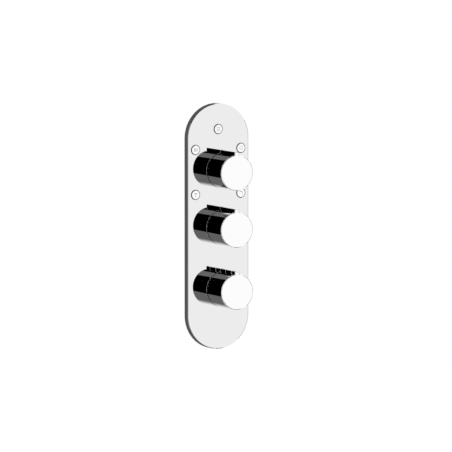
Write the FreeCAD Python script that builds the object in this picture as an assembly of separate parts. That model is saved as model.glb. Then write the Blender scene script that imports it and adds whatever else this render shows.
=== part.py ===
import FreeCAD, Part
import math
import os
from FreeCAD import Vector

# Concealed thermostatic shower valve with five outlets: a stadium trim plate with three ribbed knobs
# in front of the wall, and the brass body with its cartridges, check valves and pipe sockets behind.
# Millimetres. X is to the right, Y goes into the wall and Z is up. The origin lies on the wall face at
# the plate's middle height, on the line of the knob axes. This line stands to the right of the plate's
# centreline. The knobs reach to -Y and the brass body lies at +Y.

# Trim plate and its gasket
plate_width = 100.0
plate_height = 358.5
plate_depth = 10.0
plate_wall = 3.0
plate_rim = 7.0
knob_line_offset = 7.5
gasket_width = 3.0
gasket_thickness = 2.0
gasket_end_sides = 16

# Heights of the three knob axes
diverter_z = 81.0
volume_z = -2.0
thermostat_z = -92.5

# Five outlet discs, one in the direction of each outlet as seen from the diverter knob
disc_side_x = 37.3
disc_top_z = 142.0
disc_upper_z = 113.0
disc_lower_z = 47.5
disc_radius = 6.8
disc_thickness = 1.0
disc_sides = 24

# Knobs
knob_radius = 26.0
knob_length = 43.0
thermostat_knob_length = 43.8
knob_plate_gap = 1.5
knob_skirt_wall = 3.0
knob_face_wall = 4.0
knob_hub_across_flats = 17.0
knob_hub_setback = 8.5
rib_width = 6.8
rib_height = 4.3

# Drive from each knob to its spindle
adapter_across_flats = 11.0
adapter_length = 24.0
spline_tip_radius = 4.0
spline_root_radius = 3.4
spline_teeth = 12
spline_length = 20.0

# Safety-stop button in the thermostat knob's rib, as distances from the knob's rear edge
button_start = 13.5
button_end = 32.0
button_travel = 2.5
button_flange_overhang = 1.4
button_tongue_length = 4.0
button_flange_thickness = 2.0
button_flange_width = 9.5
button_spring_width = 6.0
button_spring_wire = 0.8
button_spring_seat_depth = 1.0

# Brass body
chamber_radius = 15.0
chamber_wall = 4.0
chamber_floor_y = 40.0
chamber_floor_wall = 4.0
body_front_y = 5.0
waist_width = 17.0
head_side_reach = 26.0
head_lower_reach = 26.0
mixed_pipe_y = 22.0
mixed_bore_radius = 6.0
gallery_y = 46.0
gallery_bore_radius = 5.5
gallery_plug_thickness = 3.5
gallery_plug_key = 5.0
gallery_plug_key_depth = 2.0
spine_width = 19.0
spine_upper_end = 12.5
spine_lower_end = 8.0
spine_back_y = 54.0
outlet_y = 28.0
outlet_port_radius = 5.5
port_inner_reach = 6.5
outlet_face_reach = 24.5
inlet_x = 15.5
inlet_y = 32.5
inlet_block_width = 52.0
inlet_block_front_y = 20.0
check_bore_radius = 8.0
check_bore_depth = 16.0
check_bore_top_wall = 2.5
check_shoulder = 1.0
hot_port_y = 36.5
cold_port_y = 28.5
supply_port_width = 8.0
supply_port_depth = 4.8
supply_port_outset = 1.5
supply_port_end_drop = 2.9

# Pipe sockets: female parallel pipe threads, drawn at their minor radius
outlet_thread_radius = 7.475
outlet_across_flats = 20.0
outlet_socket_length = 10.0
inlet_thread_radius = 9.315
inlet_across_flats = 25.0
inlet_socket_length = 16.0

# Ring nuts that clamp the trim plate on the cartridges' threaded heads
plate_hole_gap = 0.5
ring_nut_across_flats = 34.0
ring_nut_thickness = 3.5

# Cartridges
cartridge_head_overhang = 5.0
spanner_slot_width = 3.0
spanner_slot_depth = 2.0
cartridge_cavity_radius = 11.5
cartridge_guide_length = 14.0
spindle_radius = 5.0
spindle_collar_across_flats = 15.0
spindle_collar_thickness = 2.0
drive_square = 7.8
port_window = 9.0
rotor_bore_radius = 8.5
rotor_front_y = 20.0
rotor_face_wall = 3.0
disc_stack_front_y = 30.0
ceramic_thickness = 4.0
ceramic_web_radius = 2.2
ceramic_port_radius = 9.2
ceramic_port_angle = 76.0
base_seal_thickness = 2.0
base_seal_width = 2.6
volume_cavity_across_flats = 23.0

# Thermostatic element
wax_radius = 5.0
wax_front_y = 19.0
wax_length = 12.0
pusher_across_flats = 8.0
shuttle_front_y = 29.5
shuttle_length = 6.0
shuttle_wall = 1.6
shuttle_hub_wall = 1.2
shuttle_passage_angle = 84.0
return_spring_width = 16.0
return_spring_wire = 1.0

# Temperature stop ring, clipped over the thermostat's ring nut
stop_ring_across_flats = 38.0
stop_ring_thickness = 3.0
stop_ring_setback = 0.5
stop_finger_play = 0.65
stop_finger_width = 2.2

# Check valves and strainers in the two inlets
check_cage_length = 14.0
check_seat_thickness = 2.0
check_seat_across_flats = 8.4
check_passage_across_flats = 11.4
check_bar_width = 5.0
check_bar_thickness = 2.0
poppet_thickness = 2.0
poppet_stem_width = 2.4
poppet_stem_length = 4.0
check_spring_width = 6.0
check_spring_wire = 0.7
strainer_rim = 1.2
strainer_thickness = 0.8
strainer_slot_width = 1.2
strainer_slot_pitch = 2.6

# Mounting rail behind the body, and the screws let into it that hold the body
rail_width = 38.0
rail_thickness = 3.0
rail_end_margin = 2.0
rail_hole_radius = 2.25
rail_hole_x = 14.0
rail_upper_hole_z = 35.0
rail_lower_hole_z = -47.0
rail_screw_radius = 2.5
rail_screw_head_radius = 4.4
rail_screw_head_thickness = 1.8
rail_screw_grip = 8.0
rail_screw_setback = 6.5
rail_screw_key = 3.0
rail_screw_key_depth = 1.5

# Small hidden round pieces are drawn with this many flats, to keep the model light
small_sides = 16
large_sides = 32

# Clearances
running_gap = 0.05
slip_gap = 0.1
moving_gap = 0.3

# How far a cutter runs past the face that it opens, and how far joined pieces sink into each other
overshoot = 1.0

AXIS_Z = Vector(0, 0, 1)
AXIS_Y = Vector(0, 1, 0)
AXIS_X = Vector(1, 0, 0)
ORIGIN = Vector(0, 0, 0)

stations = {"diverter": diverter_z, "volume": volume_z, "thermostat": thermostat_z}
plate_centre_x = -knob_line_offset
disc_left_x = plate_centre_x - disc_side_x
disc_right_x = plate_centre_x + disc_side_x
disc_places = {
    "top": (plate_centre_x, disc_top_z),
    "upper_left": (disc_left_x, disc_upper_z),
    "upper_right": (disc_right_x, disc_upper_z),
    "lower_left": (disc_left_x, disc_lower_z),
    "lower_right": (disc_right_x, disc_lower_z),
}
outlet_angles = {
    name: math.degrees(math.atan2(x, z - diverter_z)) for name, (x, z) in disc_places.items()
}
inlet_sides = {"hot": -1, "cold": 1}
supply_port_y = {"hot": hot_port_y, "cold": cold_port_y}

plate_front_y = -plate_depth
knob_rear_y = plate_front_y - knob_plate_gap
knob_bore_radius = knob_radius - knob_skirt_wall
knob_hub_top = knob_hub_across_flats / math.sqrt(3)
hub_rear_y = knob_rear_y - knob_hub_setback
spring_seat_top = knob_hub_top - button_spring_seat_depth
button_middle_y = knob_rear_y - (button_start + button_end) / 2
body_back_y = chamber_floor_y + chamber_floor_wall
cavity_front_y = cartridge_guide_length
cartridge_front_y = plate_front_y - cartridge_head_overhang
cartridge_radius = chamber_radius - slip_gap
sliding_radius = cartridge_cavity_radius - running_gap
collar_front_y = cavity_front_y + running_gap
collar_back_y = collar_front_y + spindle_collar_thickness
inlet_end_z = thermostat_z - chamber_radius - check_bore_top_wall - check_bore_depth
inlet_centres = {name: Vector(side * inlet_x, inlet_y, 0) for name, side in inlet_sides.items()}
check_low_z = inlet_end_z + check_shoulder
check_seat_top_z = check_low_z + check_seat_thickness
check_bar_low_z = check_low_z + check_cage_length - check_bar_thickness
poppet_low_z = check_seat_top_z + running_gap
poppet_top_z = poppet_low_z + poppet_thickness
spine_low_z = thermostat_z - spine_lower_end
spine_high_z = diverter_z + gallery_bore_radius + spine_upper_end
rail_back_y = spine_back_y + rail_thickness
gallery_reach = gallery_bore_radius + rail_screw_setback
rail_screw_heights = (diverter_z + gallery_reach, volume_z - gallery_reach, thermostat_z)


def box(low, high):
    """A block between two opposite corners."""
    size = Vector(*high) - Vector(*low)
    return Part.makeBox(size.x, size.y, size.z, Vector(*low))


def rod(radius, y_front, y_back, x, z):
    """A cylinder whose axis goes into the wall."""
    return Part.makeCylinder(radius, y_back - y_front, Vector(x, y_front, z), AXIS_Y)


def passage(radius, length, start):
    """A cutter for a waterway that rises from a start point."""
    shape = regular(radius, small_sides, 0, length)
    shape.translate(start)
    return shape


def into_wall(shape, z):
    """Turn a shape made on the Z axis so that it points into the wall at height z."""
    shape.rotate(ORIGIN, AXIS_X, -90)
    shape.translate(Vector(0, 0, z))
    return shape


def prism(points, height_low, height_high):
    """A straight prism over a closed outline in the XY plane."""
    corners = [Vector(x, y, height_low) for x, y in points]
    face = Part.Face(Part.makePolygon(corners + corners[:1]))
    return face.extrude(AXIS_Z * (height_high - height_low))


def regular(radius, sides, height_low, height_high):
    """A regular prism on the Z axis, its corners at this radius and its flats facing left and right."""
    turns = [math.pi * (2 * i + 1) / sides for i in range(sides)]
    return prism([(radius * math.cos(a), radius * math.sin(a)) for a in turns], height_low, height_high)


def regular_bore(radius, sides, height_low, height_high):
    """A regular prism on the Z axis whose flats touch the given radius from outside."""
    return regular(radius / math.cos(math.pi / sides), sides, height_low, height_high)


def hexagon(across_flats, height_low, height_high):
    """A hexagonal prism on the Z axis with two flats facing left and right."""
    return regular_bore(across_flats / 2, 6, height_low, height_high)


def hexagon_sleeve(across_flats, wall, height_low, height_high):
    """A hexagonal tube on the Z axis."""
    inner = hexagon(across_flats - 2 * wall, height_low - overshoot, height_high + overshoot)
    return hexagon(across_flats, height_low, height_high).cut(inner)


def spline_star(tip_radius, root_radius, height_low, height_high):
    """A toothed shaft on the Z axis, with a tooth at every full step and a valley between."""
    points = []
    for i in range(2 * spline_teeth):
        radius = root_radius if i % 2 else tip_radius
        turn = math.pi * i / spline_teeth
        points.append((radius * math.cos(turn), radius * math.sin(turn)))
    return prism(points, height_low, height_high)


def turned(profile):
    """A solid of revolution on the Z axis from (radius, height) corners."""
    corners = [Vector(radius, 0, height) for radius, height in profile]
    face = Part.Face(Part.makePolygon(corners + corners[:1]))
    return face.revolve(ORIGIN, AXIS_Z, 360)


def stadium(width, height, y_front, y_back):
    """A slab with straight sides and half-round ends, centred on the plate."""
    radius = width / 2
    straight = height / 2 - radius
    upper_arc = Part.Arc(
        Vector(radius, y_front, straight),
        Vector(0, y_front, straight + radius),
        Vector(-radius, y_front, straight),
    )
    lower_arc = Part.Arc(
        Vector(-radius, y_front, -straight),
        Vector(0, y_front, -straight - radius),
        Vector(radius, y_front, -straight),
    )
    left = Part.LineSegment(Vector(-radius, y_front, straight), Vector(-radius, y_front, -straight))
    right = Part.LineSegment(Vector(radius, y_front, -straight), Vector(radius, y_front, straight))
    outline = Part.Wire([upper_arc.toShape(), left.toShape(), lower_arc.toShape(), right.toShape()])
    slab = Part.Face(outline).extrude(AXIS_Y * (y_back - y_front))
    slab.translate(Vector(plate_centre_x, 0, 0))
    return slab


def joined(first, *others):
    """One clean solid from pieces that overlap."""
    return first.fuse(list(others)).removeSplitter()


def group(solids):
    """Several separate like pieces that share one name."""
    return Part.makeCompound(solids)


def trim_plate():
    """The polished plate: a shallow stadium shell with three knob holes."""
    plate = stadium(plate_width, plate_height, plate_front_y, 0)
    recess_y = plate_front_y + plate_wall
    recess = stadium(plate_width - 2 * plate_rim, plate_height - 2 * plate_rim, recess_y, overshoot)
    cutters = [recess]
    for z in stations.values():
        cutters.append(rod(chamber_radius + plate_hole_gap, plate_front_y - overshoot, overshoot, 0, z))
    return plate.cut(cutters)


def plate_gasket():
    """The foam ring inside the plate's rim, pressed flush with the wall."""
    radius = plate_width / 2 - plate_rim
    straight = (plate_height - plate_width) / 2
    shapes = []
    for reach, reveal in ((radius, 0), (radius - gasket_width, overshoot)):
        turns = [math.pi * i / gasket_end_sides for i in range(gasket_end_sides + 1)]
        upper = [(reach * math.cos(a), straight + reach * math.sin(a)) for a in turns]
        lower = [(-x, -z) for x, z in upper]
        shapes.append(into_wall(prism(upper + lower, -gasket_thickness - reveal, reveal), 0))
    ring = shapes[0].cut(shapes[1])
    ring.translate(Vector(plate_centre_x, 0, 0))
    return ring


def outlet_discs():
    """The five small round discs that mark the outlets, bonded to the plate."""
    discs = []
    for x, z in disc_places.values():
        disc = regular(disc_radius, disc_sides, plate_front_y - disc_thickness, plate_front_y)
        disc = into_wall(disc, z)
        disc.translate(Vector(x, 0, 0))
        discs.append(disc)
    return group(discs)


def knob(length, z):
    """A hollow turned knob with a rib along its top and a hexagonal drive socket in its hub."""
    front = knob_rear_y - length
    inside = front + knob_face_wall
    profile = [
        (0, front),
        (knob_radius, front),
        (knob_radius, knob_rear_y),
        (knob_bore_radius, knob_rear_y),
        (knob_bore_radius, inside),
        (0, inside),
    ]
    rib_low = (-rib_width / 2, front, z + knob_radius - knob_skirt_wall / 2)
    rib_high = (rib_width / 2, knob_rear_y, z + knob_radius + rib_height)
    hub = into_wall(hexagon(knob_hub_across_flats, inside - overshoot, hub_rear_y), z)
    body = joined(into_wall(turned(profile), z), box(rib_low, rib_high), hub)
    socket = hexagon(adapter_across_flats, hub_rear_y - adapter_length, hub_rear_y + overshoot)
    return body.cut(into_wall(socket, z))


def thermostat_knob():
    """The thermostat's knob, slotted through rib and skirt for the button, with its spring's flat seat."""
    half_width = rib_width / 2 + moving_gap
    low_z = thermostat_z + (knob_hub_top + knob_bore_radius) / 2
    high_z = thermostat_z + knob_radius + rib_height + overshoot
    front = knob_rear_y - button_end - moving_gap
    back = knob_rear_y - button_start + moving_gap
    slot = box((-half_width, front, low_z), (half_width, back, high_z))
    half_seat = button_spring_width / math.sqrt(3) + moving_gap
    seat = box(
        (-half_seat, button_middle_y - half_seat, thermostat_z + spring_seat_top),
        (half_seat, button_middle_y + half_seat, low_z),
    )
    return knob(thermostat_knob_length, thermostat_z).cut([slot, seat])


def button_flange_top():
    """Height above the knob's axis of the flange that keeps the button in."""
    return math.sqrt(knob_bore_radius**2 - (button_flange_width / 2) ** 2) - moving_gap


def safety_button():
    """The push button that releases the temperature stop: flush with the rib, with a tongue behind it."""
    y_front = knob_rear_y - button_end
    y_back = knob_rear_y - button_start
    top = thermostat_z + knob_radius + rib_height
    flange_top = thermostat_z + button_flange_top()
    flange_low = flange_top - button_flange_thickness
    cap = box((-rib_width / 2, y_front, flange_low), (rib_width / 2, y_back, top))
    flange = box(
        (-button_flange_width / 2, y_front - button_flange_overhang, flange_low),
        (button_flange_width / 2, y_back + button_tongue_length, flange_top),
    )
    return joined(cap, flange)


def button_spring():
    """The spring between the knob's hub and the button's flange, drawn as a plain sleeve."""
    low = thermostat_z + spring_seat_top
    high = thermostat_z + button_flange_top() - button_flange_thickness
    spring = hexagon_sleeve(button_spring_width, button_spring_wire, low, high)
    spring.translate(Vector(0, button_middle_y, 0))
    return spring


def adapter(z):
    """The hexagonal push-fit bush between a knob and its splined spindle."""
    bush = hexagon(adapter_across_flats, hub_rear_y - adapter_length, hub_rear_y)
    tip = spline_tip_radius + running_gap
    root = spline_root_radius + running_gap
    low = hub_rear_y - adapter_length - overshoot
    bush = bush.cut(spline_star(tip, root, low, hub_rear_y + overshoot))
    return into_wall(bush, z)


def spindle(z, drive):
    """A spindle: splined nose, round shaft with a shoulder behind the bush, collar and given inner end."""
    nose = spline_star(spline_tip_radius, spline_root_radius, hub_rear_y - spline_length, hub_rear_y)
    shaft = regular(spindle_radius, small_sides, hub_rear_y, collar_front_y)
    collar = hexagon(spindle_collar_across_flats, collar_front_y, collar_back_y)
    return into_wall(joined(nose, shaft, collar, drive), z)


def square_drive(back_y):
    """The square inner end of the diverter's and the volume control's spindles."""
    half = drive_square / 2
    return box((-half, -half, collar_back_y), (half, half, back_y))


def thermostat_pusher():
    """The hexagonal inner end that bears on the wax element."""
    return hexagon(pusher_across_flats, collar_back_y, wax_front_y - slip_gap)


def window(x_low, x_high, y_centre, y_width, z_low, z_high):
    """A cutter for a square port."""
    half = y_width / 2
    return box((x_low, y_centre - half, z_low), (x_high, y_centre + half, z_high))


def radial_window(angle, z):
    """A cutter for a square port that opens away from a knob's axis in one direction."""
    half = port_window / 2
    port = window(-half, half, outlet_y, port_window, port_inner_reach, chamber_radius + overshoot)
    port.rotate(ORIGIN, AXIS_Y, angle)
    port.translate(Vector(0, 0, z))
    return port


def cartridge(z, cavity):
    """A screw-in cartridge housing: threaded head through the plate, spindle guide and the given cavity."""
    barrel = regular(cartridge_radius, large_sides, cartridge_front_y, chamber_floor_y)
    guide_radius = spindle_radius + running_gap
    guide_low = cartridge_front_y - overshoot
    guide = regular_bore(guide_radius, small_sides, guide_low, cavity_front_y + overshoot)
    half = spanner_slot_width / 2
    slot_reach = cartridge_radius + overshoot
    slot_back = cartridge_front_y + spanner_slot_depth
    slot = box((-slot_reach, -half, guide_low), (slot_reach, half, slot_back))
    return into_wall(barrel.cut([guide, cavity, slot]), z)


def round_cavity():
    """A round cavity that is open to the back."""
    back = chamber_floor_y + overshoot
    return regular_bore(cartridge_cavity_radius, large_sides, cavity_front_y, back)


def diverter_cartridge():
    """The diverter's housing has one port for each outlet."""
    ports = [radial_window(angle, diverter_z) for angle in outlet_angles.values()]
    return cartridge(diverter_z, round_cavity()).cut(ports)


def volume_cartridge():
    """The volume cartridge takes mixed water in from below, in front of its discs."""
    cavity = hexagon(volume_cavity_across_flats, cavity_front_y, chamber_floor_y + overshoot)
    half = port_window / 2
    low = volume_z - chamber_radius - overshoot
    port = window(-half, half, mixed_pipe_y, port_window, low, volume_z - rotor_bore_radius)
    return cartridge(volume_z, cavity).cut(port)


def supply_port(name):
    """A cutter for the flat port that leads hot or cold water from its inlet arm to the thermostat."""
    side = inlet_sides[name]
    far = side * (inlet_x + supply_port_outset)
    near = far - side * supply_port_width
    low = inlet_end_z + check_bore_depth - overshoot
    high = thermostat_z - supply_port_end_drop
    return window(min(near, far), max(near, far), supply_port_y[name], supply_port_depth, low, high)


def thermostat_cartridge():
    """The thermostat's housing: hot and cold ports below, the mixed-water port on top."""
    half = port_window / 2
    high = thermostat_z + chamber_radius + overshoot
    mixed = window(-half, half, mixed_pipe_y, port_window, thermostat_z + rotor_bore_radius, high)
    housing = cartridge(thermostat_z, round_cavity())
    return housing.cut([mixed, supply_port("hot"), supply_port("cold")])


def diverter_rotor():
    """The hollow plug on the spindle: water enters its open back and leaves by the port under the rib."""
    back = chamber_floor_y - moving_gap
    plug = regular(sliding_radius, large_sides, rotor_front_y, back)
    face_back = rotor_front_y + rotor_face_wall
    bore = regular_bore(rotor_bore_radius, small_sides, face_back, back + overshoot)
    half = drive_square / 2
    socket = box((-half, -half, rotor_front_y - overshoot), (half, half, face_back + overshoot))
    plug = into_wall(plug.cut([bore, socket]), diverter_z)
    return plug.cut(radial_window(0, diverter_z))


def wedge_ports(front, back):
    """Cutters for the two opposite wedge-shaped ports of a ceramic disc."""
    spread = math.radians(ceramic_port_angle / 2)
    ports = []
    for middle in (0, math.pi):
        corners = [(ceramic_web_radius, middle - spread)]
        corners += [(ceramic_port_radius, middle + turn) for turn in (-spread, 0, spread)]
        corners.append((ceramic_web_radius, middle + spread))
        points = [(r * math.cos(a), r * math.sin(a)) for r, a in corners]
        ports.append(prism(points, front - overshoot, back + overshoot))
    return ports


def volume_rotating_disc():
    """The disc that the volume spindle turns; at rest its ports are across the fixed disc's, shut."""
    back = disc_stack_front_y + ceramic_thickness
    disc = regular(sliding_radius, large_sides, disc_stack_front_y, back)
    disc = disc.cut(wedge_ports(disc_stack_front_y, back))
    disc.rotate(ORIGIN, AXIS_Z, 90)
    return into_wall(disc, volume_z)


def volume_fixed_disc():
    """The six-sided disc that the housing holds still behind the rotating one."""
    front = disc_stack_front_y + ceramic_thickness + running_gap
    back = chamber_floor_y - base_seal_thickness
    disc = hexagon(volume_cavity_across_flats, front, back)
    return into_wall(disc.cut(wedge_ports(front, back)), volume_z)


def volume_base_seal():
    """The rubber ring that seals the fixed disc to the floor of the volume chamber."""
    front = chamber_floor_y - base_seal_thickness
    seal = hexagon_sleeve(volume_cavity_across_flats, base_seal_width, front, chamber_floor_y)
    return into_wall(seal, volume_z)


def wax_element():
    """The wax capsule in the mixed water, which swells with heat and moves the shuttle."""
    capsule = regular(wax_radius, small_sides, wax_front_y, wax_front_y + wax_length)
    return into_wall(capsule, thermostat_z)


def mixing_shuttle():
    """The sliding spool between the hot and cold ports, with three passages round the wax element."""
    back = shuttle_front_y + shuttle_length
    spool = regular(sliding_radius, large_sides, shuttle_front_y, back)
    socket = regular(wax_radius, small_sides, shuttle_front_y - overshoot, wax_front_y + wax_length)
    inner = wax_radius + shuttle_hub_wall
    outer = sliding_radius - shuttle_wall
    spread = math.radians(shuttle_passage_angle / 2)
    cutters = [socket]
    for i in range(3):
        middle = 2 * math.pi * i / 3
        corners = [(inner, middle - spread), (outer, middle - spread), (outer, middle)]
        corners += [(outer, middle + spread), (inner, middle + spread), (inner, middle)]
        points = [(r * math.cos(a), r * math.sin(a)) for r, a in corners]
        cutters.append(prism(points, shuttle_front_y - overshoot, back + overshoot))
    return into_wall(spool.cut(cutters), thermostat_z)


def return_spring():
    """The spring that pushes the shuttle back towards the knob, drawn as a plain sleeve."""
    front = shuttle_front_y + shuttle_length
    spring = hexagon_sleeve(return_spring_width, return_spring_wire, front, chamber_floor_y)
    return into_wall(spring, thermostat_z)


def temperature_stop_ring():
    """The ring clipped on the thermostat's ring nut, with the finger that stops the button's tongue."""
    back = plate_front_y - stop_ring_setback
    front = back - stop_ring_thickness
    wall = (stop_ring_across_flats - ring_nut_across_flats) / 2
    sleeve = into_wall(hexagon_sleeve(stop_ring_across_flats, wall, front, back), thermostat_z)
    near_x = button_flange_width / 2 + stop_finger_play
    far_x = near_x + stop_finger_width
    foot = thermostat_z + ring_nut_across_flats / 2
    low = thermostat_z + button_flange_top() - button_travel + moving_gap
    high = thermostat_z + math.sqrt((knob_bore_radius - moving_gap) ** 2 - far_x**2)
    tip = knob_rear_y - button_start + moving_gap
    arm = box((-far_x, front, foot), (-near_x, back, high))
    finger = box((-far_x, tip, low), (-near_x, back, high))
    return joined(sleeve, arm, finger)


def outward(shape, angle, reach):
    """Turn a shape made on the Z axis to one outlet's direction, its foot at this reach from the axis."""
    shape.translate(Vector(0, 0, reach))
    shape.rotate(ORIGIN, AXIS_Y, angle)
    shape.translate(Vector(0, outlet_y, diverter_z))
    return shape


def flat_sided(faces, z):
    """A block in front view with one flat for each (direction, distance) pair round the point (0, z)."""
    points = []
    for (turn_a, reach_a), (turn_b, reach_b) in zip(faces, faces[1:] + faces[:1]):
        a = math.radians(turn_a)
        b = math.radians(turn_b)
        spread = math.sin(b - a)
        x = (reach_b * -math.cos(a) + reach_a * math.cos(b)) / -spread
        height = (reach_b * math.sin(a) - reach_a * math.sin(b)) / -spread
        points.append(Vector(x, body_front_y, z + height))
    face = Part.Face(Part.makePolygon(points + points[:1]))
    return face.extrude(AXIS_Y * (body_back_y - body_front_y))


def diverter_faces():
    """The directions and distances of the diverter block's flats: one for each outlet, and the sides."""
    faces = [(angle, outlet_face_reach) for angle in outlet_angles.values()]
    faces += [(-90, head_side_reach), (90, head_side_reach), (180, head_lower_reach)]
    return sorted(faces)


def valve_casting():
    """The brass body: three barrels in a row, the rear spine with its gallery, and the inlet block."""
    wall_reach = chamber_radius + chamber_wall
    octagon = [(turn, wall_reach) for turn in range(-180, 180, 45)]
    half_waist = waist_width / 2
    half_spine = spine_width / 2
    half_inlets = inlet_block_width / 2
    solids = [
        flat_sided(diverter_faces(), diverter_z),
        flat_sided(octagon, volume_z),
        flat_sided(octagon, thermostat_z),
        box((-half_waist, body_front_y, thermostat_z), (half_waist, body_back_y, diverter_z)),
        box((-half_spine, chamber_floor_y, spine_low_z), (half_spine, spine_back_y, spine_high_z)),
        box((-half_inlets, inlet_block_front_y, inlet_end_z), (half_inlets, body_back_y, thermostat_z)),
    ]
    cutters = [
        passage(mixed_bore_radius, volume_z - thermostat_z, Vector(0, mixed_pipe_y, thermostat_z)),
        passage(gallery_bore_radius, diverter_z - volume_z, Vector(0, gallery_y, volume_z)),
    ]
    for z in stations.values():
        chamber = regular_bore(chamber_radius, large_sides, body_front_y - overshoot, chamber_floor_y)
        cutters.append(into_wall(chamber, z))
    for z in (diverter_z, volume_z):
        back = spine_back_y + overshoot
        crossing = regular(gallery_bore_radius, small_sides, chamber_floor_y - overshoot, back)
        cutters.append(into_wall(crossing, z))
    for angle in outlet_angles.values():
        port = regular(outlet_port_radius, small_sides, 0, outlet_face_reach + overshoot)
        cutters.append(outward(port, angle, 0))
    for name, centre in inlet_centres.items():
        bore_top = inlet_end_z + check_bore_depth
        bore = regular_bore(check_bore_radius, large_sides, inlet_end_z - overshoot, bore_top)
        bore.translate(centre)
        cutters.append(bore)
        cutters.append(supply_port(name))
    for z in rail_screw_heights:
        grip_end = spine_back_y - rail_screw_grip
        hole = regular(rail_screw_radius, small_sides, grip_end, spine_back_y + overshoot)
        cutters.append(into_wall(hole, z))
    return joined(*solids).cut(cutters)


def pipe_socket(across_flats, thread_radius, length):
    """A hexagonal brass socket on the Z axis with its threaded bore right through."""
    blank = hexagon(across_flats, 0, length)
    foot = Vector(0, 0, -overshoot)
    return blank.cut(Part.makeCylinder(thread_radius, length + 2 * overshoot, foot, AXIS_Z))


def outlet_sockets():
    """The five sockets for the outlet pipes."""
    sockets = []
    for angle in outlet_angles.values():
        socket = pipe_socket(outlet_across_flats, outlet_thread_radius, outlet_socket_length)
        sockets.append(outward(socket, angle, outlet_face_reach))
    return group(sockets)


def inlet_sockets():
    """The two sockets for the hot and cold supply pipes, facing down."""
    sockets = []
    for centre in inlet_centres.values():
        socket = pipe_socket(inlet_across_flats, inlet_thread_radius, inlet_socket_length)
        socket.translate(Vector(centre.x, centre.y, inlet_end_z - inlet_socket_length))
        sockets.append(socket)
    return group(sockets)


def plate_ring_nuts():
    """The three hexagonal ring nuts that clamp the plate, hidden inside the knobs."""
    nuts = []
    front = plate_front_y - ring_nut_thickness
    for z in stations.values():
        bore = regular_bore(cartridge_radius, large_sides, front - overshoot, plate_front_y + overshoot)
        nuts.append(into_wall(hexagon(ring_nut_across_flats, front, plate_front_y).cut(bore), z))
    return group(nuts)


def check_cage(centre):
    """A check valve's cage: seat at the bottom, six-sided passage that guides the poppet, bar on top."""
    high = check_low_z + check_cage_length
    cage = regular(check_bore_radius, large_sides, check_low_z, high)
    guide = hexagon(check_passage_across_flats, check_seat_top_z, high + overshoot)
    seat = hexagon(check_seat_across_flats, check_low_z - overshoot, check_seat_top_z + overshoot)
    reach = check_bore_radius - overshoot
    bar = box((-reach, -check_bar_width / 2, check_bar_low_z), (reach, check_bar_width / 2, high))
    cage = joined(cage.cut([guide, seat]), bar)
    cage.translate(centre)
    return cage


def check_poppet(centre):
    """The sprung six-sided disc that lets water up and not back."""
    disc = hexagon(check_passage_across_flats - 2 * slip_gap, poppet_low_z, poppet_top_z)
    half = poppet_stem_width / 2
    stem = box((-half, -half, poppet_top_z), (half, half, poppet_top_z + poppet_stem_length))
    poppet = joined(disc, stem)
    poppet.translate(centre)
    return poppet


def check_spring(centre):
    """The spring between a poppet and its cage's bar, drawn as a plain sleeve."""
    spring = hexagon_sleeve(check_spring_width, check_spring_wire, poppet_top_z, check_bar_low_z)
    spring.translate(centre)
    return spring


def inlet_strainers():
    """The slotted plates that keep grit out of the two check valves."""
    strainers = []
    low = check_low_z - strainer_thickness
    reach = check_bore_radius - strainer_rim
    half_slot = strainer_slot_width / 2
    rows = int((reach - half_slot) / strainer_slot_pitch)
    for centre in inlet_centres.values():
        plate = regular(check_bore_radius, small_sides, low, check_low_z)
        slots = []
        for row in range(-rows, rows + 1):
            middle = row * strainer_slot_pitch
            span = math.sqrt(reach**2 - (abs(middle) + half_slot) ** 2)
            corner_low = (middle - half_slot, -span, low - overshoot)
            corner_high = (middle + half_slot, span, check_low_z + overshoot)
            slots.append(box(corner_low, corner_high))
        plate = plate.cut(slots)
        plate.translate(centre)
        strainers.append(plate)
    return group(strainers)


def gallery_plugs():
    """The two screw plugs that close the drilled ways from the gallery to the upper chambers."""
    plugs = []
    for z in (diverter_z, volume_z):
        front = spine_back_y - gallery_plug_thickness
        plug = regular(gallery_bore_radius, small_sides, front, spine_back_y)
        key = hexagon(gallery_plug_key, spine_back_y - gallery_plug_key_depth, spine_back_y + overshoot)
        plugs.append(into_wall(plug.cut(key), z))
    return group(plugs)


def screw_form():
    """A rail screw on the Z axis: its shank in the body and its head let into the rail's back."""
    shank = regular(rail_screw_radius, small_sides, spine_back_y - rail_screw_grip, rail_back_y)
    head_low = rail_back_y - rail_screw_head_thickness
    return joined(shank, regular(rail_screw_head_radius, small_sides, head_low, rail_back_y))


def mounting_rail():
    """The flat steel strip that fixes the body in the wall, with two screw holes on each side."""
    half = rail_width / 2
    low = spine_low_z - rail_end_margin
    high = spine_high_z + rail_end_margin
    strip = box((-half, spine_back_y, low), (half, rail_back_y, high))
    cutters = [into_wall(screw_form(), z) for z in rail_screw_heights]
    for x in (-rail_hole_x, rail_hole_x):
        for z in (rail_upper_hole_z, rail_lower_hole_z):
            cutters.append(rod(rail_hole_radius, spine_back_y - overshoot, rail_back_y + overshoot, x, z))
    return strip.cut(cutters)


def rail_screws():
    """The three screws that hold the body to the rail, each with a six-sided key socket."""
    key = hexagon(rail_screw_key, rail_back_y - rail_screw_key_depth, rail_back_y + overshoot)
    return group([into_wall(screw_form().cut(key), z) for z in rail_screw_heights])


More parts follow.
